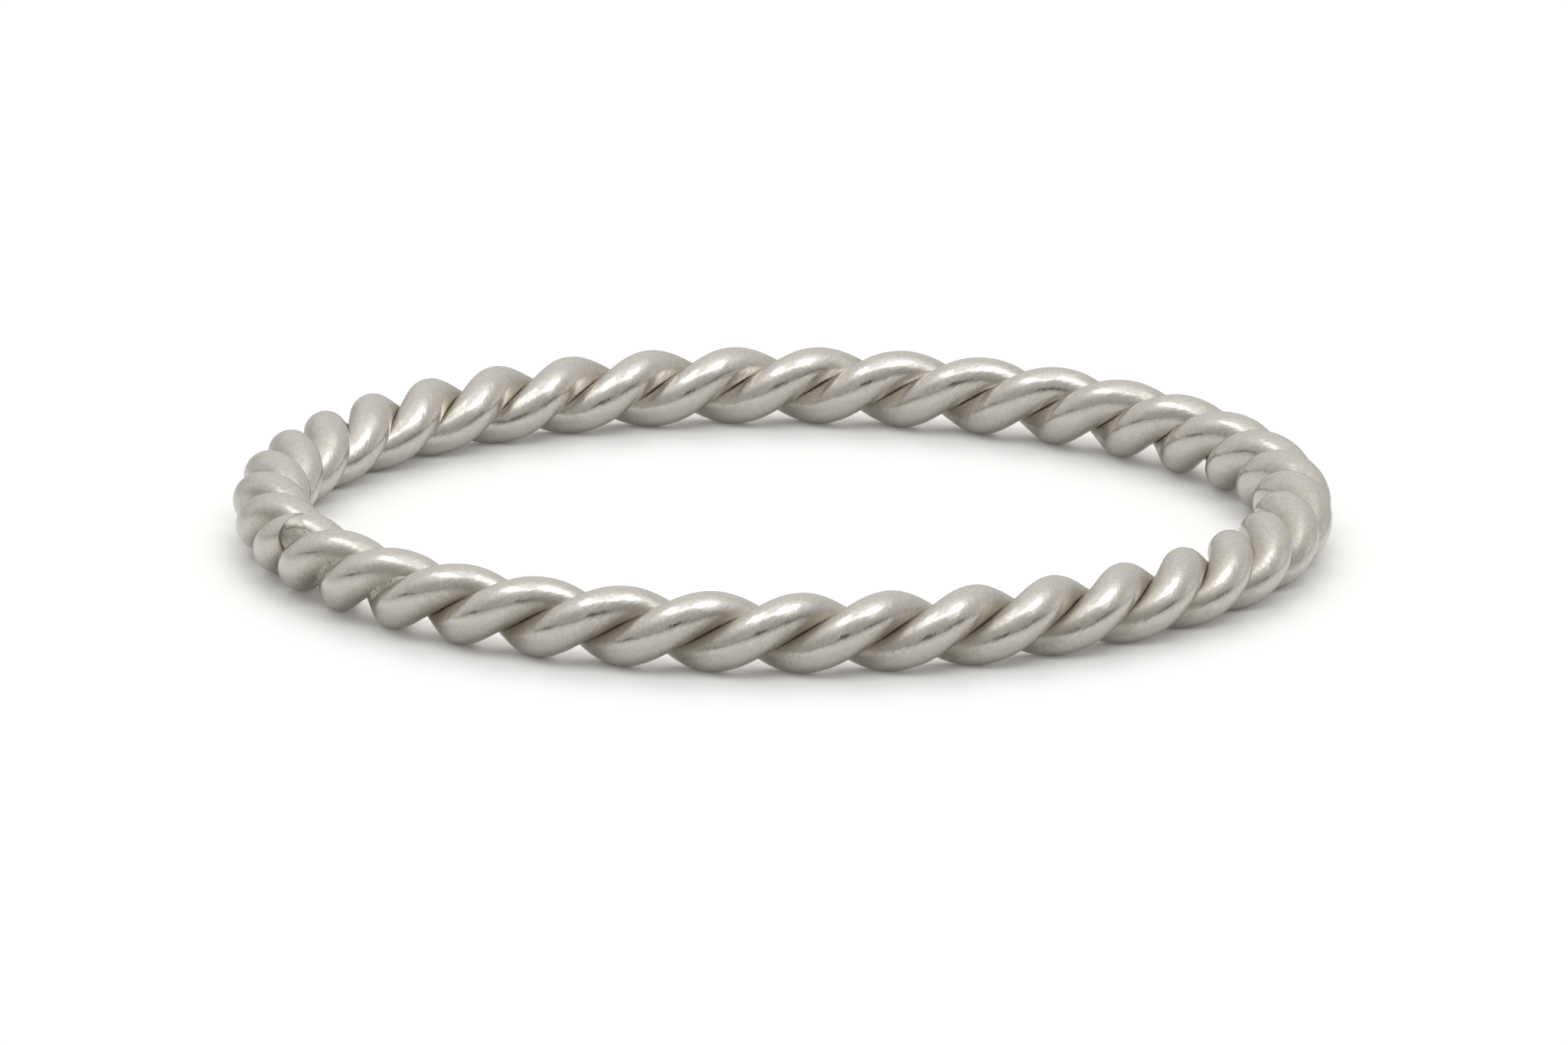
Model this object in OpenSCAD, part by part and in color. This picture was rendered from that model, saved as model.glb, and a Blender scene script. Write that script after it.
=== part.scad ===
// Rope twist ring: two round wires twisted together, bent into a hoop and soldered end to end.
// The ring lies flat on its side. The origin is on the surface below the middle of the finger
// hole, +Z points up, and -Y is the front. Angles round the ring start at the front and grow
// towards +X, so the solder joint at -67.5 degrees is on the front left.

/* [Ring] */
// Inner diameter across the finger hole, between the crests of the twist
inner_d = 18.1; // [14:0.1:23]

/* [Wire] */
// Diameter of each round wire
wire_d = 0.84; // [0.6:0.02:1.2]
// Depth by which the twisting presses the two wires into each other
press = 0.17; // [0.06:0.01:0.24]

/* [Twist] */
// Half-turns of twist in one lap: with an odd number the two strands change places at the joint
half_turns = 37; // [24:1:44]
// Angle round the ring of the first crest that points straight out
crest_angle = -3.4; // [-10:0.1:10]
// Twist that is missing where the rope's ends meet: it runs out from there to the first crest
slack = 30; // [0:1:60]

/* [Solder joint] */
// Angle round the ring at which the rope's two ends meet
joint_angle = -67.5; // [-170:0.5:-20]
// Length of the hoop, from the joint on, over which solder fills the grooves
solder_length = 4.5; // [1:0.5:12]
// Share of the groove's depth that the solder fills at the joint
solder_fill = 0.75; // [0:0.05:1]

/* [Hidden] */

// Facets: straight sides round each wire, and cross-sections in each half-turn of the twist
wire_sides = 10;
sections_per_half_turn = 8;

wire_r = wire_d / 2;
// Radius of the helix that each wire's centreline follows
helix_r = (wire_d - press) / 2;
rope_r = helix_r + wire_r;
ring_r = inner_d / 2 + rope_r;

// One full turn of a strand, measured along the hoop, and its slope
pitch = 2 * PI * ring_r * 2 / half_turns;
helix_angle = atan(2 * PI * helix_r / pitch);

section_count = half_turns * sections_per_half_turn;
section_points = 2 * wire_sides;
twist_step = 180 / sections_per_half_turn;

// A point of the rope's cross-section, which cuts the sloping wire askew.
// a is the angle round the wire, from the point that lies furthest out.
function askew(a) = 360 / pitch * wire_r * sin(a) * sin(helix_angle);
function turned(p, angle) = [
    p.x * cos(angle) - p.y * sin(angle),
    p.x * sin(angle) + p.y * cos(angle)
];
function wire_point(a) = turned(
    [helix_r + wire_r * cos(a), wire_r * sin(a) * cos(helix_angle)],
    askew(a)
);

// The angle round the wire at which it meets the other wire, halved down from a wide bracket
function meeting_angle(low = 90, high = 180, tries = 24) =
    let (middle = (low + high) / 2)
    tries == 0 ? middle
        : wire_point(middle).x > 0 ? meeting_angle(middle, high, tries - 1)
        : meeting_angle(low, middle, tries - 1);

meet = meeting_angle();

// The cross-section of one wire between the two grooves. Turned half round, it is the other's.
lobe = [for (i = [0 : wire_sides - 1]) wire_point(meet * (2 * i / wire_sides - 1))];
lobe_top = max([for (p = lobe) p.y]);
lobe_top_x = max([for (p = lobe) if (p.y == lobe_top) p.x]);
both_lobes = concat(lobe, [for (p = lobe) -p]);

// Solder raises the floor of each groove towards the level of the wires beside it
function soldered(p, fill) =
    abs(p.x) < lobe_top_x ? [p.x, p.y + fill * (sign(p.y) * lobe_top - p.y)] : p;

// The filling and the missing twist both set in within the joint, and fade out along the hoop
joint_step = 3;
solder_angle = solder_length / ring_r * 180 / PI;
function from_joint(angle) = (angle - joint_angle + 540) % 360 - 180;
function fading(angle, reach) =
    lookup(from_joint(angle), [[-joint_step, 0], [0, 1], [reach, 0]]);
function fill_at(angle) = solder_fill * fading(angle, solder_angle);
function slack_at(angle) = slack * fading(angle, crest_angle - joint_angle);

// Section i stands across the hoop, turned by the twist that has built up since the first crest
function section_angle(i) = crest_angle + 360 * i / section_count;
function on_hoop(p, angle) = [
    (ring_r + p.x) * sin(angle),
    -(ring_r + p.x) * cos(angle),
    rope_r + p.y
];
function section(i) =
    let (angle = section_angle(i), twist = twist_step * i + slack_at(angle))
    [for (p = both_lobes) on_hoop(turned(soldered(p, fill_at(angle)), twist), angle)];

// Number of point j of section i. After the last section comes the first one again, and an odd
// number of half-turns brings each wire round to the other wire's place.
swap = half_turns % 2 * wire_sides;
function corner(i, j) =
    i < section_count
        ? i * section_points + j % section_points
        : (j + swap) % section_points;

module twisted_wires() {
    polyhedron(
        points = [for (i = [0 : section_count - 1]) each section(i)],
        faces = [
            for (i = [0 : section_count - 1], j = [0 : section_points - 1])
                each [
                    [corner(i, j), corner(i, j + 1), corner(i + 1, j + 1)],
                    [corner(i, j), corner(i + 1, j + 1), corner(i + 1, j)]
                ]
        ],
        convexity = 6
    );
}

module rope_band() {
    color("silver") twisted_wires();
}

rope_band();
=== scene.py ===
"""Rope twist ring: two silver wires twisted together, bent into a hoop and soldered end to end."""

import math

import bmesh
import bpy
from mathutils import Matrix, Vector, noise


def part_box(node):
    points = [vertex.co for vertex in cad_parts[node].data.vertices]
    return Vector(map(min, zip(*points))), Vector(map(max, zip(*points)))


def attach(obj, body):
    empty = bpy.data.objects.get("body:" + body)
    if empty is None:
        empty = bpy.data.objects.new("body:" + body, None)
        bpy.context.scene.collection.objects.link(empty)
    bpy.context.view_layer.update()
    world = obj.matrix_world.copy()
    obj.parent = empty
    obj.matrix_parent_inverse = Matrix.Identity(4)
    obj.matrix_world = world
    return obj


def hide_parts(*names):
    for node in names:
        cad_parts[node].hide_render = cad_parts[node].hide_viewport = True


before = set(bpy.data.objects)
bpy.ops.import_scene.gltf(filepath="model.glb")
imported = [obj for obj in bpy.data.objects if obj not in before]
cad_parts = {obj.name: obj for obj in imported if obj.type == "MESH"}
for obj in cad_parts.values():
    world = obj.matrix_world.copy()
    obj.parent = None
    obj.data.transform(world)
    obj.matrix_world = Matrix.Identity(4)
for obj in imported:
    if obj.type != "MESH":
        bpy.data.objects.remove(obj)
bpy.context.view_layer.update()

MM = 0.001

# Sizes of the twist

# Lengths are in metres. Angles round the ring grow from the front towards +X.
WIRE_DIAMETER = 0.84 * MM
PRESS = 0.17 * MM                  # how far the wires are pressed into each other
HALF_TURNS = 37
CREST_ANGLE = math.radians(-3.4)   # where a crest of strand a points straight out
SEAM_ANGLE = math.radians(-67.5)   # where the rope was cut and its ends meet
SLACK = math.radians(30)           # twist missing at the rope's beginning, none at the first crest

wire_radius = WIRE_DIAMETER / 2
helix_radius = (WIRE_DIAMETER - PRESS) / 2
band_low, band_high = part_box("rope_band")
rope_radius = (band_high.z - band_low.z) / 2
hoop_radius = -band_low.x - rope_radius

twist_rate = HALF_TURNS / 2 / hoop_radius     # radians of twist for each metre of rope
helix_slope = math.atan(twist_rate * helix_radius)
pitch = 2 * math.pi / twist_rate
hoop_length = 2 * math.pi * hoop_radius
seam_x = hoop_radius * SEAM_ANGLE
crest_x = hoop_radius * CREST_ANGLE

# Fineness of the meshes, and the narrow gaps between the pieces

WIRE_SIDES = 64
STEPS_PER_TURN = 48
CONTACT_GAP = 0.004 * MM           # between the flats where the two wires press together
SEAM_GAP = 0.003 * MM
SHARP_ANGLE = math.radians(32)
WELD = 1e-4 * MM

# The wires' slight unevenness, from drawing, twisting and filing by hand

WAVE_DEPTH = 0.005 * MM
WAVE_LENGTH = 0.55 * MM
WAVE_SHIFT = 40                    # in wave lengths, so that the second wire differs

# Solder in the grooves, on from the seam

# It is a bar along the middle of the rope, raised in pools. A pool has its angle round the ring,
# the groove's side, its level from the middle of the rope and its half-length.
SOLDER_SIDES = 48
SOLDER_STEP = 0.04 * MM
SOLDER_HALF_WIDTH = 0.30 * MM
SOLDER_EDGE = 0.25                 # share of the half-width over which the bar's sides rise
SOLDER_FLOOR = 0.25 * MM
SOLDER_START = math.radians(-69.5)
SOLDER_END = math.radians(-43.5)
SOLDER_MENISCUS = 0.05 * MM
SOLDER_ROUGHNESS = 0.012 * MM
SOLDER_LUMP = 0.12 * MM
POOL_FLATNESS = 4                  # exponent of a pool's profile
POOLS = (
    (math.radians(-66.5), 1, 0.40 * MM, 0.55 * MM),
    (math.radians(-57.0), -1, 0.42 * MM, 0.80 * MM),
    (math.radians(-47.8), 1, 0.41 * MM, 0.72 * MM),
)

# The fillet where the wires' ends stand proud of their beginnings

FILLET_START = 0.15 * MM           # inside the wires' ends
FILLET_LENGTH = 0.62 * MM
FILLET_STEPS = 22
FILLET_MARGIN = 0.012              # share by which it stays within the wires
FILLET_DROP = 0.34                 # share by which it is thinner at its far end
FILLET_CURVE = 0.9                 # exponent of its slope
FILLET_ROUGHNESS = 0.03

# Finish of the silver

# Colours are as the eye sees them in daylight. Depths run in mm from the wire's centre line
# towards the contact, with the patchiness added.
POLISHED_SILVER = "#E4DFD6"
SPECKED_SILVER = "#DCD7CE"
# The colours under the film and under the grime are partly painted shade, darker into the grooves.
SILVER_UNDER_FILM_AND_SHADE = "#BFB8AA"
SILVER_UNDER_GRIME_AND_SHADE = "#8F887A"
FILM_AND_SHADE_DEPTHS = (-0.09, 0.41)
GRIME_AND_SHADE_DEPTHS = (0.47, 0.61)
FILM_AND_SHADE_PATCHINESS = (("patches", 0.30), ("specks", 0.26))
WORN_BAND = (-0.3 * MM, 0.4 * MM)  # outwards from the middle of the rope, from worn to unworn
WORN_FILM = 0.3                    # share of the film, and of the painted groove shade, that is left on the side of the finger
POLISH_ROUGHNESS = (0.09, 0.25)    # between and along the hairlines
FILM_ROUGHNESS = 0.28              # added by the film

# Marks on the wire

# Each is a pattern of noise, with what it follows, its number to the mm and its detail. They run
# from patches of 0.6 mm to hairlines of 0.006 mm, as fine as a polishing cloth leaves. Some are
# cut in, to a depth in mm. The polishing marks are drawn out along the wire.
MARKS = (
    ("dents", "wire", 2.2, 1.0),
    ("patches", "wire", 1.6, 2.0),
    ("specks", "ring", 14.0, 2.0),
    ("scuffs", "polish", 12.0, 2.0),
    ("grain", "polish", 50.0, 1.0),
    ("hairlines", "polish", 170.0, 0.0),
)
MARK_DEPTHS = (("dents", 0.014), ("scuffs", 0.005), ("grain", 0.0008))
MARK_LENGTH = 2.9                  # of the polishing marks, for a width of 1
SPECK_EDGES = (0.38, 0.62)         # levels of the noise between which a dull speck sets in
HAIRLINE_EDGES = (0.40, 0.65)      # levels between which a hairline sets in

# Finish of the solder

SOLDER = "#BDBBAD"
PALE_SOLDER = "#CECBBE"
# Flux colour, which also paints the shadow at the rim where the solder dips and the shade in the
# pinholes
FLUX_AND_SHADE = "#8F8B7E"
RUBBED_SOLDER = "#CDC8BE"
SOLDER_ROUGHNESSES = (0.45, 0.40)           # as it froze, and polished
SOLDER_MARKS = ((5.0, 2.0), (12.0, 1.0))    # lumps and pinholes: number to the mm, and detail
PALE_EDGES = (0.35, 0.65)                   # levels of the lumps between which they pale
# The pinholes are painted dark as the shade inside them.
PINHOLE_EDGES = (0.62, 0.70)
POLISHED_ABOVE = (1.42, 1.52)               # heights in mm, ragged by the lumps
# A collar of flux and painted shadow under the polished part, between these heights in mm
SHADED_COLLAR_ABOVE = (1.36, 1.44)
SEAM_STAIN_AND_SHADOW = (0.30, 0.16)                   # distances past the seam in mm, from clean to dark with flux and painted shadow
EDGE_RAGGEDNESS = 0.3
LUMP_HEIGHT = 0.008
PIT_DEPTH = 0.003

SMOOTH = {"interpolation_type": "SMOOTHSTEP"}

# The sheet of paper

WHITE = "#FFFFFF"
PAPER = "#F7F6F3"
PAPER_PAINTED_GLOW = 0.038
PAPER_ROUGHNESS = 0.9
PAPER_SPECULAR = 0.2
# The paper as the ring mirrors it is painted greyer, and darker away from the hoop as a painted fall-off
# of light.
MIRRORED_NEAR = "#D8D8D7"
MIRRORED_FAR = "#B2B2B1"
MIRRORED_PAINTED_FALLOFF = (1.0 * MM, 8.0 * MM)     # distances from the hoop
SHEET_HALF_WIDTH = 0.6                      # in metres

# The camera, fitted to the ring's outline in the photograph

ELEVATION = math.radians(14.046)
DISTANCE = 339.35 * MM
FOCAL_PIXELS = 23097.4
IMAGE_WIDTH, IMAGE_HEIGHT = 2048, 1365
RING_CENTRE_PIXEL = (1022.45, 660.29)
ROLL = math.radians(0.307)
SENSOR_WIDTH = 36.0                # in mm
CLIP_START, CLIP_END = 0.01, 10    # in metres

# The surroundings as the ring sees them

# An even grey has soft glows on it, and duller parts. Each glow has its azimuth and elevation in
# degrees, its sharpness and its strength, which is negative in a duller part.
SURROUNDING_GREY = 0.225
GLOWS = (
    (67, 65, 15.0, 0.45),
    (-60, 70, 11.0, 0.40),
    (178, 34, 0.76, 0.50),
    (-15, 55, 0.8, 0.10),
    (-90, 45, 15.0, 0.09),
    (60, 35, 30.0, 0.12),
    (105, 2, 30.0, 0.20),
    (45, 45, 60.0, 0.08),
    (50, 39, 140.0, 0.45),
    (150, 0, 4.0, -0.12),
    (-150, 8, 30.0, -0.16),
    (48, 19, 10.0, -0.09),
    (-72, 26, 8.0, -0.06),
    (7, 14, 20.0, -0.06),
    (-45, 25, 30.0, -0.07),
    (-50, 56, 25.0, 0.08),
    (90, 73, 20.0, 0.14),
)

# Dark ovals low in the surroundings, which the wires mirror as short dark dashes

# Each has its azimuth, elevation, half-width and half-height in degrees and its depth, which is
# the share of the light that it takes away. Its edge is soft between two shares of its size.
DARK_OVALS = (
    (2, 11, 13.0, 5.5, 0.84),
    (-75, 4, 12.0, 4.0, 0.65),
    (54, 7, 17.0, 5.0, 0.50),
)
OVAL_EDGE = (0.8, 1.2)

# The dark strip round the front, just over the horizon

STRIP_AZIMUTH = -10
STRIP_ELEVATIONS = (1.0, 9.0)      # degrees between which it fades out
STRIP_ENDS = (-0.3, 0.2)           # cosines from its middle between which it sets in
STRIP_DEPTH = 0.38

# The lights

# Each has its azimuth and elevation in degrees, its distance, width and depth in metres, its
# radiance, and whether the ring mirrors it. The others show only in the light on the paper.
LAMP_COLOUR = "#EAF3FF"
LIGHTS = (
    ("softbox_right", 54, 62, 0.30, 0.155, 0.155, 1.1, True),
    ("softbox_left", -76, 65, 0.30, 0.17, 0.10, 0.7, True),
    ("tube_overhead", -4, 64, 0.32, 0.30, 0.08, 0.62, True),
    ("wall_high", 180, 46, 0.50, 0.30, 0.30, 2.5, False),
    ("wall_low", 180, 26, 0.50, 0.30, 0.30, 1.9, False),
    ("front_light", 0, 12, 0.50, 0.30, 0.30, 2.4, False),
)


def hex_colour(text):
    """The linear colour of an sRGB hex value."""
    srgb = [int(text[i:i + 2], 16) / 255 for i in (1, 3, 5)]
    linear = [c / 12.92 if c <= 0.04045 else ((c + 0.055) / 1.055) ** 2.4 for c in srgb]
    return (*linear, 1.0)


def add(tree, kind, settings=None, values=None, links=None):
    """Adds a node with its settings, the values of its sockets and the links into them."""
    node = tree.nodes.new(kind)
    for name, value in (settings or {}).items():
        setattr(node, name, value)
    for socket, value in (values or {}).items():
        node.inputs[socket].default_value = value
    for socket, source in (links or {}).items():
        tree.links.new(source, node.inputs[socket])
    return node


# The rope is first twisted straight, along X, as on the bench. +Z is up, and -Y is the side
# that comes to lie outside once the rope is bent.


def twist_at(x, half=0):
    """The angle of a wire round the straight rope, from straight out towards up."""
    return twist_rate * x - HALF_TURNS / 2 * CREST_ANGLE + math.pi * half


def outward(angle):
    """The direction away from the middle of the straight rope, at an angle round it."""
    return Vector((0, -math.cos(angle), math.sin(angle)))


def bent(point):
    """A point of the straight rope, once it is turned by the slack and bent into the hoop."""
    missing = SLACK * min(max((crest_x - point.x) / (crest_x - seam_x), 0), 1)
    turned = Matrix.Rotation(-missing, 3, "X") @ point
    angle = turned.x / hoop_radius
    radius = hoop_radius - turned.y
    return Vector((radius * math.sin(angle), -radius * math.cos(angle), turned.z + rope_radius))


def make_piece(bm, name, material):
    """Makes a piece of the ring from a closed bmesh, with its sharp edges marked."""
    bmesh.ops.recalc_face_normals(bm, faces=bm.faces)
    for face in bm.faces:
        face.smooth = True
    for edge in bm.edges:
        edge.smooth = edge.calc_face_angle(0) < SHARP_ANGLE
    mesh = bpy.data.meshes.new(name)
    bm.to_mesh(mesh)
    bm.free()
    piece = bpy.data.objects.new(name, mesh)
    bpy.context.collection.objects.link(piece)
    mesh.materials.append(material)
    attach(piece, "root")
    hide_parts("rope_band")


def cut_square(bm, x, side):
    """Cuts the straight rope at x and caps it. A side of 1 takes away what lies beyond x."""
    geometry = bm.verts[:] + bm.edges[:] + bm.faces[:]
    cut = bmesh.ops.bisect_plane(
        bm, geom=geometry, dist=WELD, plane_co=(x, 0, 0), plane_no=(side, 0, 0),
        clear_outer=True,
    )["geom_cut"]
    rim = [e for e in cut if isinstance(e, bmesh.types.BMEdge)]
    bmesh.ops.holes_fill(bm, edges=rim, sides=0)


def wind(bm, ring, start, length, steps):
    """Sweeps a ring of edges along the rope, turning with its twist."""
    bmesh.ops.spin(
        bm, geom=ring, cent=(start, 0, 0), axis=(1, 0, 0), dvec=(length / steps, 0, 0),
        angle=-length * twist_rate, steps=steps, use_merge=False, use_duplicate=False,
    )


def wire_tube(bm, start, half, length, steps):
    """An open tube round one wire's winding centre line.

    Each point keeps its place on the round wire, where +Y faces the other wire.
    """
    place = bm.verts.layers.float_vector.get("wire_place")
    square_to_wire = (
        Matrix.Translation((start, 0, 0))
        @ Matrix.Rotation(-twist_at(start, half), 4, "X")
        @ Matrix.Translation((0, -helix_radius, 0))
        @ Matrix.Rotation(math.pi / 2 - helix_slope, 4, "Y")
    )
    circle = bmesh.ops.create_circle(bm, segments=WIRE_SIDES, radius=wire_radius)["verts"]
    for vert in circle:
        vert[place] = vert.co
    bmesh.ops.transform(bm, matrix=square_to_wire, verts=circle)
    ring = list({edge for vert in circle for edge in vert.link_edges})
    wind(bm, ring, start, length, steps)


def twisted_wire(name, half, material):
    """One wire of the rope, a lap long, which starts and ends at the seam."""
    bm = bmesh.new()
    place = bm.verts.layers.float_vector.new("wire_place")
    turns = math.ceil(hoop_length / pitch) + 1
    wire_tube(bm, seam_x - pitch / 4, half, pitch, STEPS_PER_TURN)
    one_turn = bm.verts[:] + bm.edges[:] + bm.faces[:]
    for turn in range(1, turns):
        copied = bmesh.ops.duplicate(bm, geom=one_turn)["geom"]
        moved = [v for v in copied if isinstance(v, bmesh.types.BMVert)]
        bmesh.ops.translate(bm, vec=(turn * pitch, 0, 0), verts=moved)
    bmesh.ops.remove_doubles(bm, verts=bm.verts, dist=WELD)
    for vert in bm.verts:
        round_wire = vert[place]
        along = vert.co.x / math.cos(helix_slope)
        vert[place] = Vector((round_wire.x, round_wire.y, along))
        out = outward(twist_at(vert.co.x, half))
        centre = out * helix_radius + Vector((vert.co.x, 0, 0))
        wave = noise.noise(vert[place] / WAVE_LENGTH + Vector((0, 0, WAVE_SHIFT * half)))
        vert.co += (vert.co - centre) / wire_radius * wave * WAVE_DEPTH
        depth = vert.co.dot(out)
        if depth < CONTACT_GAP / 2:
            vert.co += out * (CONTACT_GAP / 2 - depth)
    cut_square(bm, seam_x + SEAM_GAP / 2, -1)
    cut_square(bm, seam_x + hoop_length - SEAM_GAP / 2, 1)
    for vert in bm.verts:
        vert.co = bent(vert.co)
    make_piece(bm, name, material)


def solder_level(x, side, across):
    """The solder's height over the middle of the rope, at a share of its half-width from it."""
    level = SOLDER_FLOOR
    for angle, pool_side, pool_level, half_length in POOLS:
        if side == pool_side:
            distance = (x - hoop_radius * angle) / half_length
            level += (pool_level - SOLDER_FLOOR) * math.exp(-distance ** POOL_FLATNESS)
    return level + SOLDER_MENISCUS * across ** 2


def solder_joint(material):
    """The solder that has run along both grooves from the seam."""
    bm = bmesh.new()
    start = hoop_radius * SOLDER_START
    length = hoop_radius * (SOLDER_END - SOLDER_START)
    square_to_rope = (
        Matrix.Translation((start, 0, 0))
        @ Matrix.Rotation(-twist_at(start), 4, "X")
        @ Matrix.Rotation(math.pi / 2, 4, "Y")
    )
    bmesh.ops.create_circle(
        bm, segments=SOLDER_SIDES, radius=SOLDER_HALF_WIDTH, matrix=square_to_rope,
    )
    wind(bm, bm.edges[:], start, length, round(length / SOLDER_STEP))
    bmesh.ops.holes_fill(bm, edges=[e for e in bm.edges if e.is_boundary], sides=0)
    for vert in bm.verts:
        out = outward(twist_at(vert.co.x))
        up = outward(twist_at(vert.co.x) + math.pi / 2)
        across = vert.co.dot(out) / SOLDER_HALF_WIDTH
        rise = vert.co.dot(up) / SOLDER_HALF_WIDTH
        side = math.copysign(1, rise)
        lump = SOLDER_ROUGHNESS * noise.noise(vert.co / SOLDER_LUMP)
        height = solder_level(vert.co.x, side, across) + lump
        height *= min(1, abs(rise) / SOLDER_EDGE)
        vert.co = Vector((vert.co.x, 0, 0)) + out * across * SOLDER_HALF_WIDTH + up * side * height
    for vert in bm.verts:
        vert.co = bent(vert.co)
    make_piece(bm, "solder_joint", material)


def joint_fillet(material):
    """Solder that slopes from the ends of the wires down to their beginnings, turned by the slack."""
    bm = bmesh.new()
    bm.verts.layers.float_vector.new("wire_place")
    seam_end = seam_x + hoop_length
    start = seam_end - FILLET_START
    for half in (0, 1):
        wire_tube(bm, start, half, FILLET_START + FILLET_LENGTH, FILLET_STEPS)
    for vert in bm.verts:
        share = min(max((vert.co.x - seam_end) / FILLET_LENGTH, 0), 1)
        lump = FILLET_ROUGHNESS * noise.noise(vert.co / SOLDER_LUMP)
        shrink = 1 - FILLET_MARGIN - FILLET_DROP * share ** FILLET_CURVE + lump * share
        vert.co = Vector((vert.co.x, vert.co.y * shrink, vert.co.z * shrink))
    bmesh.ops.holes_fill(bm, edges=[e for e in bm.edges if e.is_boundary], sides=0)
    for vert in bm.verts:
        vert.co = bent(vert.co)
    make_piece(bm, "joint_fillet", material)


def wire_marks(tree, ring_mm, wire_mm):
    """The patterns of noise behind the marks on the wire."""
    drawn_out = add(
        tree, "ShaderNodeVectorMath", {"operation": "MULTIPLY"},
        values={1: (1, 1, 1 / MARK_LENGTH)}, links={0: wire_mm},
    ).outputs[0]
    places = {"ring": ring_mm, "wire": wire_mm, "polish": drawn_out}
    return {
        name: add(
            tree, "ShaderNodeTexNoise",
            values={"Scale": per_mm, "Detail": detail}, links={"Vector": places[followed]},
        ).outputs["Fac"]
        for name, followed, per_mm, detail in MARKS
    }


def film_grime_and_shade(tree, ring_place, wire_mm, marks):
    """The shares of the silver that film and grime cover deep in the grooves, which also carry the
    painted shade there.
    """
    depth_in_groove = add(tree, "ShaderNodeSeparateXYZ", links={0: wire_mm}).outputs["Y"]
    for name, reach in FILM_AND_SHADE_PATCHINESS:
        depth_in_groove = add(
            tree, "ShaderNodeMath", {"operation": "MULTIPLY_ADD"},
            values={1: reach}, links={0: marks[name], 2: depth_in_groove},
        ).outputs[0]
    in_plan = add(
        tree, "ShaderNodeVectorMath", {"operation": "MULTIPLY"},
        values={1: (1, 1, 0)}, links={0: ring_place},
    ).outputs[0]
    from_axis = add(
        tree, "ShaderNodeVectorMath", {"operation": "LENGTH"}, links={0: in_plan},
    ).outputs["Value"]
    worn, unworn = WORN_BAND
    left = add(
        tree, "ShaderNodeMapRange", SMOOTH,
        values={1: hoop_radius + worn, 2: hoop_radius + unworn, 3: WORN_FILM, 4: 1.0},
        links={0: from_axis},
    ).outputs[0]
    shares = []
    for start, end in (FILM_AND_SHADE_DEPTHS, GRIME_AND_SHADE_DEPTHS):
        unrubbed_and_shaded = add(
            tree, "ShaderNodeMapRange", SMOOTH,
            values={1: start, 2: end}, links={0: depth_in_groove},
        ).outputs[0]
        share = add(
            tree, "ShaderNodeMath", {"operation": "MULTIPLY"}, links={0: unrubbed_and_shaded, 1: left},
        ).outputs[0]
        shares.append(share)
    return shares


def silver_colour(tree, specks, film_and_shade, grime_and_shade):
    """The colour of the silver, with its dull specks, and the film, grime and painted shade in the
    grooves.
    """
    bright, dull = SPECK_EDGES
    specked = add(
        tree, "ShaderNodeMapRange", SMOOTH, values={1: bright, 2: dull}, links={0: specks},
    ).outputs[0]
    colour = add(
        tree, "ShaderNodeMix", {"data_type": "RGBA"},
        values={6: hex_colour(POLISHED_SILVER), 7: hex_colour(SPECKED_SILVER)}, links={0: specked},
    ).outputs[2]
    # Painted shade: the grooves are darkened with the film and grime colours.
    for share, darker_colour in ((film_and_shade, SILVER_UNDER_FILM_AND_SHADE), (grime_and_shade, SILVER_UNDER_GRIME_AND_SHADE)):
        colour = add(
            tree, "ShaderNodeMix", {"data_type": "RGBA"},
            values={7: hex_colour(darker_colour)}, links={0: share, 6: colour},
        ).outputs[2]
    return colour


def silver_roughness(tree, hairlines, film_and_shade):
    """The roughness of the polish with its hairlines, and of the film on it."""
    between, within = HAIRLINE_EDGES
    smooth, scratched = POLISH_ROUGHNESS
    polish = add(
        tree, "ShaderNodeMapRange", SMOOTH,
        values={1: between, 2: within, 3: smooth, 4: scratched}, links={0: hairlines},
    ).outputs[0]
    return add(
        tree, "ShaderNodeMath", {"operation": "MULTIPLY_ADD"},
        values={1: FILM_ROUGHNESS}, links={0: film_and_shade, 2: polish},
    ).outputs[0]


def silver_relief(tree, marks):
    """The bump of the marks that are cut in."""
    relief = add(tree, "ShaderNodeValue").outputs[0]
    relief.default_value = 0.0
    for name, depth in MARK_DEPTHS:
        relief = add(
            tree, "ShaderNodeMath", {"operation": "MULTIPLY_ADD"},
            values={1: depth}, links={0: marks[name], 2: relief},
        ).outputs[0]
    return add(tree, "ShaderNodeBump", values={"Distance": MM}, links={"Height": relief}).outputs[0]


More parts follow.
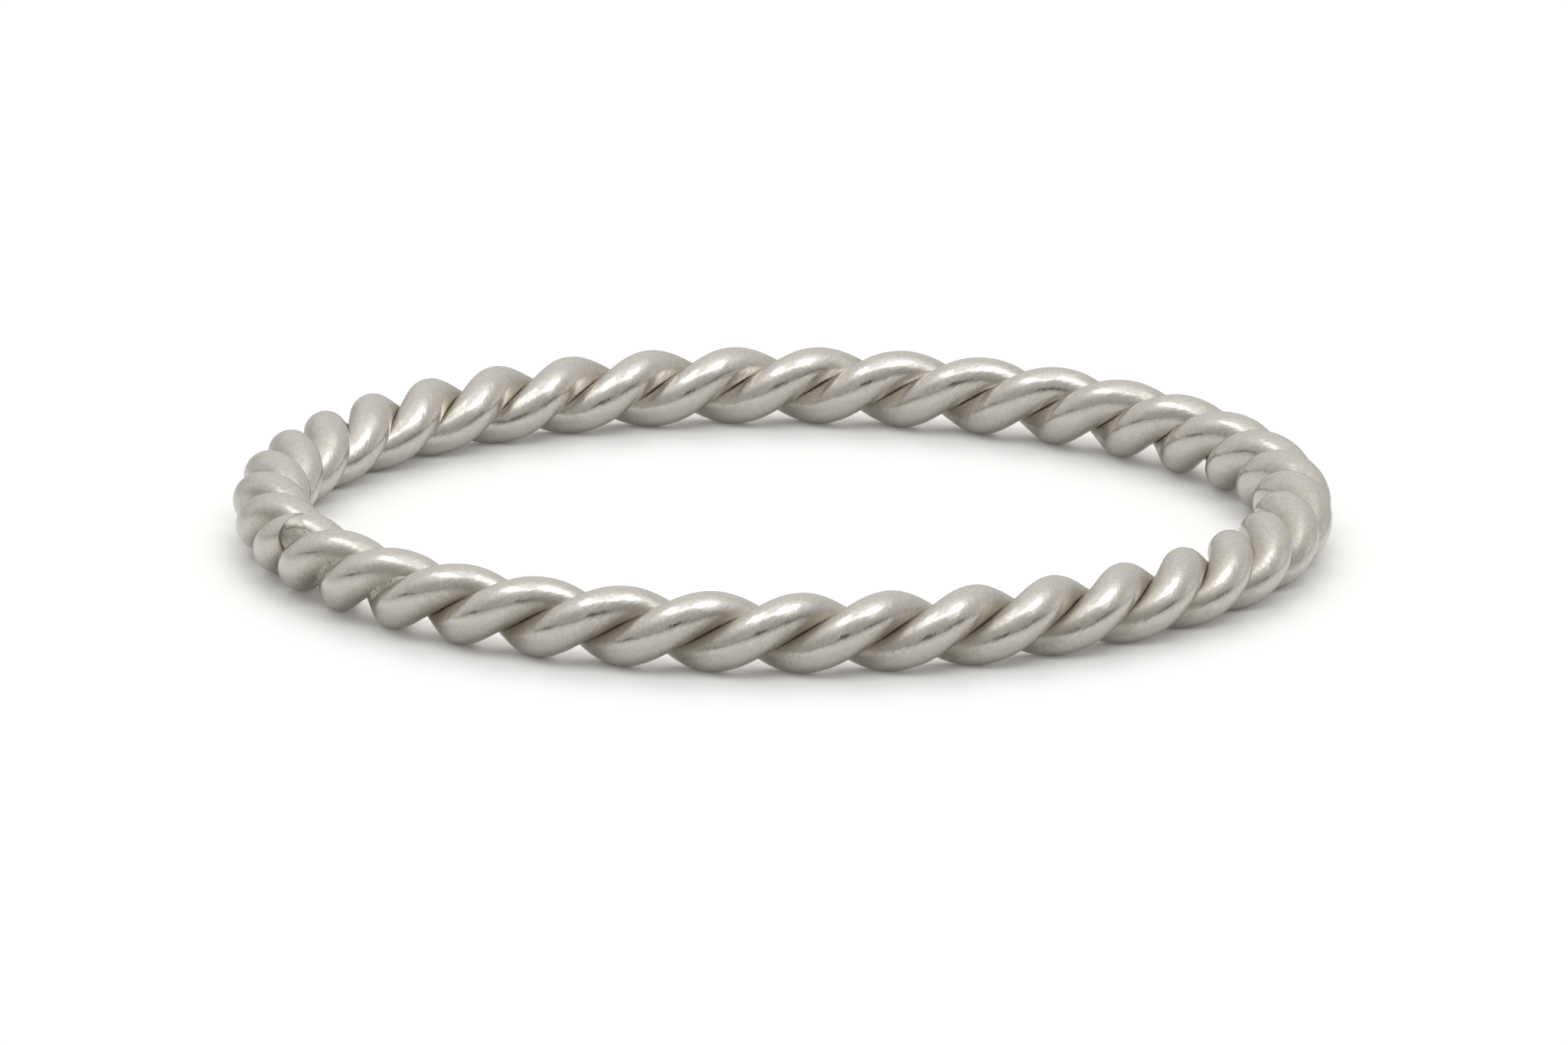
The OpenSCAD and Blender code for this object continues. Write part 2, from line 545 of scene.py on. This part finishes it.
def sterling_silver():
    """Sterling silver wire, drawn, twisted, and polished by hand after soldering.

    The polish left fine marks along the wire, and tarnish has begun in dull specks. A dull grey
    film stayed in the grooves, where no cloth reaches; its colour darkens into the grooves as
    painted shade, and beside the contact with the other wire it is painted dark as grime and
    shade. On the side of the finger the film is mostly worn off, and the painted shade with it.
    """
    material = bpy.data.materials.new("polished_sterling_silver")
    material.use_nodes = True
    tree = material.node_tree
    shader = tree.nodes["Principled BSDF"]
    ring_place = add(tree, "ShaderNodeTexCoord").outputs["Object"]
    wire_place = add(tree, "ShaderNodeAttribute", {"attribute_name": "wire_place"}).outputs["Vector"]
    ring_mm, wire_mm = (
        add(
            tree, "ShaderNodeVectorMath", {"operation": "SCALE"}, values={3: 1 / MM}, links={0: place},
        ).outputs[0]
        for place in (ring_place, wire_place)
    )
    marks = wire_marks(tree, ring_mm, wire_mm)
    film_and_shade, grime_and_shade = film_grime_and_shade(tree, ring_place, wire_mm, marks)
    shader.inputs["Metallic"].default_value = 1.0
    for socket, source in (
        ("Base Color", silver_colour(tree, marks["specks"], film_and_shade, grime_and_shade)),
        ("Roughness", silver_roughness(tree, marks["hairlines"], film_and_shade)),
        ("Normal", silver_relief(tree, marks)),
    ):
        tree.links.new(source, shader.inputs[socket])
    return material


def silver_solder():
    """Silver solder as it froze: greyer and greener than the wire, frosted, with pinholes.

    Where it stood proud it is filed and polished down to the wire. Along the seam and round the
    polished part it is dark with flux and with painted shadow where the solder dips at its rim,
    and its pinholes are painted dark as the shade in them.
    """
    material = bpy.data.materials.new("silver_solder")
    material.use_nodes = True
    tree = material.node_tree
    shader = tree.nodes["Principled BSDF"]
    place = add(tree, "ShaderNodeTexCoord").outputs["Object"]
    place_mm = add(
        tree, "ShaderNodeVectorMath", {"operation": "SCALE"}, values={3: 1 / MM}, links={0: place},
    ).outputs[0]
    lumps, pinholes = (
        add(
            tree, "ShaderNodeTexNoise",
            values={"Scale": per_mm, "Detail": detail}, links={"Vector": place_mm},
        ).outputs["Fac"]
        for per_mm, detail in SOLDER_MARKS
    )
    height_mm = add(tree, "ShaderNodeSeparateXYZ", links={0: place_mm}).outputs["Z"]
    past_seam_mm = add(
        tree, "ShaderNodeVectorMath", {"operation": "DOT_PRODUCT"},
        values={1: (math.cos(SEAM_ANGLE), math.sin(SEAM_ANGLE), 0)}, links={0: place_mm},
    ).outputs["Value"]
    ragged_height, ragged_seam = (
        add(
            tree, "ShaderNodeMath", {"operation": "MULTIPLY_ADD"},
            values={1: EDGE_RAGGEDNESS}, links={0: lumps, 2: distance},
        ).outputs[0]
        for distance in (height_mm, past_seam_mm)
    )
    pale, polished, shaded_collar, pitted, by_seam = (
        add(
            tree, "ShaderNodeMapRange", SMOOTH, values={1: start, 2: end}, links={0: value},
        ).outputs[0]
        for value, (start, end) in (
            (lumps, PALE_EDGES),
            (ragged_height, POLISHED_ABOVE),
            (ragged_height, SHADED_COLLAR_ABOVE),
            (pinholes, PINHOLE_EDGES),
            (ragged_seam, SEAM_STAIN_AND_SHADOW),
        )
    )
    # Painted shadow and shade: the collar and the seam take the flux colour also as the rim's shadow,
    # the pinholes as the shade in them.
    dark = pitted
    for share in (shaded_collar, by_seam):
        dark = add(
            tree, "ShaderNodeMath", {"operation": "MAXIMUM"}, links={0: dark, 1: share},
        ).outputs[0]
    colour = add(tree, "ShaderNodeRGB").outputs[0]
    colour.default_value = hex_colour(SOLDER)
    for share, other in ((pale, PALE_SOLDER), (dark, FLUX_AND_SHADE), (polished, RUBBED_SOLDER)):
        colour = add(
            tree, "ShaderNodeMix", {"data_type": "RGBA"},
            values={7: hex_colour(other)}, links={0: share, 6: colour},
        ).outputs[2]
    frosted, rubbed = SOLDER_ROUGHNESSES
    roughness = add(
        tree, "ShaderNodeMapRange", values={3: frosted, 4: rubbed}, links={0: polished},
    ).outputs[0]
    lumpy = add(
        tree, "ShaderNodeMath", {"operation": "MULTIPLY"}, values={1: LUMP_HEIGHT}, links={0: lumps},
    ).outputs[0]
    relief = add(
        tree, "ShaderNodeMath", {"operation": "MULTIPLY_ADD"},
        values={1: -PIT_DEPTH}, links={0: dark, 2: lumpy},
    ).outputs[0]
    bump = add(tree, "ShaderNodeBump", values={"Distance": MM}, links={"Height": relief})
    shader.inputs["Metallic"].default_value = 1.0
    tree.links.new(colour, shader.inputs["Base Color"])
    tree.links.new(roughness, shader.inputs["Roughness"])
    tree.links.new(bump.outputs[0], shader.inputs["Normal"])
    return material


def painted_mirrored_paper(tree):
    """The paper's colour as the wires mirror it, a painted reflection: darker away from the ring, as a
    painted fall-off of light.
    """
    place = add(tree, "ShaderNodeTexCoord").outputs["Object"]
    from_axis = add(
        tree, "ShaderNodeVectorMath", {"operation": "LENGTH"}, links={0: place},
    ).outputs["Value"]
    from_hoop = add(
        tree, "ShaderNodeMath", {"operation": "SUBTRACT"}, values={1: hoop_radius}, links={0: from_axis},
    ).outputs[0]
    away = add(
        tree, "ShaderNodeMath", {"operation": "ABSOLUTE"}, links={0: from_hoop},
    ).outputs[0]
    near, far = MIRRORED_PAINTED_FALLOFF
    faded = add(
        tree, "ShaderNodeMapRange", values={1: near, 2: far}, links={0: away},
    ).outputs[0]
    return add(
        tree, "ShaderNodeMix", {"data_type": "RGBA"},
        values={6: hex_colour(MIRRORED_NEAR), 7: hex_colour(MIRRORED_FAR)}, links={0: faded},
    ).outputs[2]


def white_paper():
    """Uncoated white paper, with a faint painted glow of its own that lightens the shadows on it.

    The photograph overexposes it, and the ring mirrors it greyer.
    """
    material = bpy.data.materials.new("white_paper")
    material.use_nodes = True
    tree = material.node_tree
    shader = tree.nodes["Principled BSDF"]
    # Painted reflection: the paper takes a greyer colour for the rays that the ring mirrors.
    mirrored = add(tree, "ShaderNodeLightPath").outputs["Is Glossy Ray"]
    colour = add(
        tree, "ShaderNodeMix", {"data_type": "RGBA"},
        values={6: hex_colour(PAPER)}, links={0: mirrored, 7: painted_mirrored_paper(tree)},
    ).outputs[2]
    tree.links.new(colour, shader.inputs["Base Color"])
    # Painted light: the paper glows faintly, though it is no lamp.
    shader.inputs["Emission Color"].default_value = hex_colour(WHITE)
    shader.inputs["Emission Strength"].default_value = PAPER_PAINTED_GLOW
    shader.inputs["Roughness"].default_value = PAPER_ROUGHNESS
    shader.inputs["Specular IOR Level"].default_value = PAPER_SPECULAR
    return material


def sheet(material):
    """The sheet that the ring lies on, which runs out of the picture on all sides."""
    bm = bmesh.new()
    bmesh.ops.create_grid(bm, x_segments=1, y_segments=1, size=SHEET_HALF_WIDTH)
    mesh = bpy.data.meshes.new("floor")
    bm.to_mesh(mesh)
    bm.free()
    mesh.materials.append(material)
    floor = bpy.data.objects.new("floor", mesh)
    bpy.context.collection.objects.link(floor)


def camera():
    """The camera, turned so that the ring's centre falls on its pixel of the photograph."""
    data = bpy.data.cameras.new("camera")
    data.sensor_width = SENSOR_WIDTH
    data.lens = FOCAL_PIXELS / IMAGE_WIDTH * SENSOR_WIDTH
    data.clip_start = CLIP_START
    data.clip_end = CLIP_END
    made = bpy.data.objects.new("camera", data)
    bpy.context.collection.objects.link(made)
    ring_centre = Vector((0, 0, rope_radius))
    facing = Matrix.Rotation(math.pi / 2 - ELEVATION, 4, "X")
    right_px = IMAGE_WIDTH / 2 - RING_CENTRE_PIXEL[0]
    up_px = RING_CENTRE_PIXEL[1] - IMAGE_HEIGHT / 2
    aim = (
        Matrix.Rotation(-math.atan(right_px / FOCAL_PIXELS), 4, "Y")
        @ Matrix.Rotation(math.atan(up_px / FOCAL_PIXELS), 4, "X")
        @ Matrix.Rotation(ROLL, 4, "Z")
    )
    made.matrix_world = (
        Matrix.Translation(ring_centre) @ facing @ Matrix.Translation((0, 0, DISTANCE)) @ aim
    )
    return made


def direction(azimuth, elevation):
    """A direction from the ring: azimuth in degrees from the front towards +X."""
    a, e = math.radians(azimuth), math.radians(elevation)
    return Vector((math.sin(a) * math.cos(e), -math.cos(a) * math.cos(e), math.sin(e)))


def grey_with_glows(tree, sight):
    """The radiance of the surroundings in each direction, before anything dark stands in them."""
    radiance = add(tree, "ShaderNodeValue").outputs[0]
    radiance.default_value = SURROUNDING_GREY
    for azimuth, elevation, sharpness, strength in GLOWS:
        towards = add(
            tree, "ShaderNodeVectorMath", {"operation": "DOT_PRODUCT"},
            values={1: direction(azimuth, elevation)}, links={0: sight},
        ).outputs["Value"]
        power = add(
            tree, "ShaderNodeMath", {"operation": "MULTIPLY_ADD"},
            values={1: sharpness, 2: -sharpness}, links={0: towards},
        ).outputs[0]
        glow = add(tree, "ShaderNodeMath", {"operation": "EXPONENT"}, links={0: power}).outputs[0]
        radiance = add(
            tree, "ShaderNodeMath", {"operation": "MULTIPLY_ADD"},
            values={1: strength}, links={0: glow, 2: radiance},
        ).outputs[0]
    return radiance


def kept_past_oval(tree, sight, azimuth, elevation, half_width, half_height, depth):
    """The share of the light that a dark oval lets past in each direction."""
    ahead = add(
        tree, "ShaderNodeVectorRotate", {"rotation_type": "Z_AXIS"},
        values={"Angle": -math.radians(azimuth)}, links={"Vector": sight},
    ).outputs[0]
    across = 1 / math.sin(math.radians(half_width))
    upward = 1 / math.sin(math.radians(half_height))
    middle = direction(0, elevation)
    from_middle = add(
        tree, "ShaderNodeVectorMath", {"operation": "MULTIPLY_ADD"},
        values={1: (across, 1, upward), 2: (0, -middle.y, -middle.z * upward)}, links={0: ahead},
    ).outputs[0]
    reach = add(
        tree, "ShaderNodeVectorMath", {"operation": "LENGTH"}, links={0: from_middle},
    ).outputs["Value"]
    inner, outer = OVAL_EDGE
    return add(
        tree, "ShaderNodeMapRange", SMOOTH,
        values={1: inner, 2: outer, 3: 1 - depth, 4: 1.0}, links={0: reach},
    ).outputs[0]


def kept_past_strip(tree, sight):
    """The share of the light that the dark strip round the front lets past."""
    upwards = add(tree, "ShaderNodeSeparateXYZ", links={0: sight}).outputs["Z"]
    low, high = (math.sin(math.radians(e)) for e in STRIP_ELEVATIONS)
    strip = add(
        tree, "ShaderNodeMapRange", SMOOTH,
        values={1: low, 2: high, 3: STRIP_DEPTH, 4: 0.0}, links={0: upwards},
    ).outputs[0]
    towards = add(
        tree, "ShaderNodeVectorMath", {"operation": "DOT_PRODUCT"},
        values={1: direction(STRIP_AZIMUTH, 0)}, links={0: sight},
    ).outputs["Value"]
    outside, inside = STRIP_ENDS
    in_front = add(
        tree, "ShaderNodeMapRange", SMOOTH, values={1: outside, 2: inside}, links={0: towards},
    ).outputs[0]
    taken = add(
        tree, "ShaderNodeMath", {"operation": "MULTIPLY"}, links={0: strip, 1: in_front},
    ).outputs[0]
    return add(
        tree, "ShaderNodeMath", {"operation": "SUBTRACT"}, values={0: 1.0}, links={1: taken},
    ).outputs[0]


def surroundings():
    """The world: an even grey with soft glows, dark ovals and a dark strip."""
    world = bpy.data.worlds.new("studio")
    world.use_nodes = True
    tree = world.node_tree
    tree.nodes.clear()
    sight = add(tree, "ShaderNodeTexCoord").outputs["Generated"]
    radiance = grey_with_glows(tree, sight)
    kept = [kept_past_oval(tree, sight, *oval) for oval in DARK_OVALS]
    kept.append(kept_past_strip(tree, sight))
    for share in kept:
        radiance = add(
            tree, "ShaderNodeMath", {"operation": "MULTIPLY"}, links={0: radiance, 1: share},
        ).outputs[0]
    background = add(tree, "ShaderNodeBackground", links={"Color": radiance})
    add(tree, "ShaderNodeOutputWorld", links={"Surface": background.outputs[0]})
    return world


def softbox(name, azimuth, elevation, distance, width, depth, radiance, mirrored):
    """A soft oval light that faces the ring."""
    area = math.pi * width * depth / 4
    light = bpy.data.lights.new(name, "AREA")
    light.shape = "ELLIPSE"
    light.size = width
    light.size_y = depth
    light.energy = radiance * math.pi * area
    light.color = hex_colour(LAMP_COLOUR if mirrored else WHITE)[:3]
    lamp = bpy.data.objects.new(name, light)
    bpy.context.collection.objects.link(lamp)
    place = direction(azimuth, elevation)
    facing = place.to_track_quat("Z", "Y").to_matrix().to_4x4()
    lamp.matrix_world = Matrix.Translation(place * distance) @ facing
    lamp.visible_glossy = mirrored


silver = sterling_silver()
twisted_wire("strand_a", 0, silver)
twisted_wire("strand_b", 1, silver)
solder = silver_solder()
solder_joint(solder)
joint_fillet(solder)

sheet(white_paper())
bpy.context.scene.camera = camera()
bpy.context.scene.world = surroundings()
for row in LIGHTS:
    softbox(*row)
bpy.context.scene.view_settings.view_transform = "Standard"
bpy.context.scene.view_settings.look = "None"
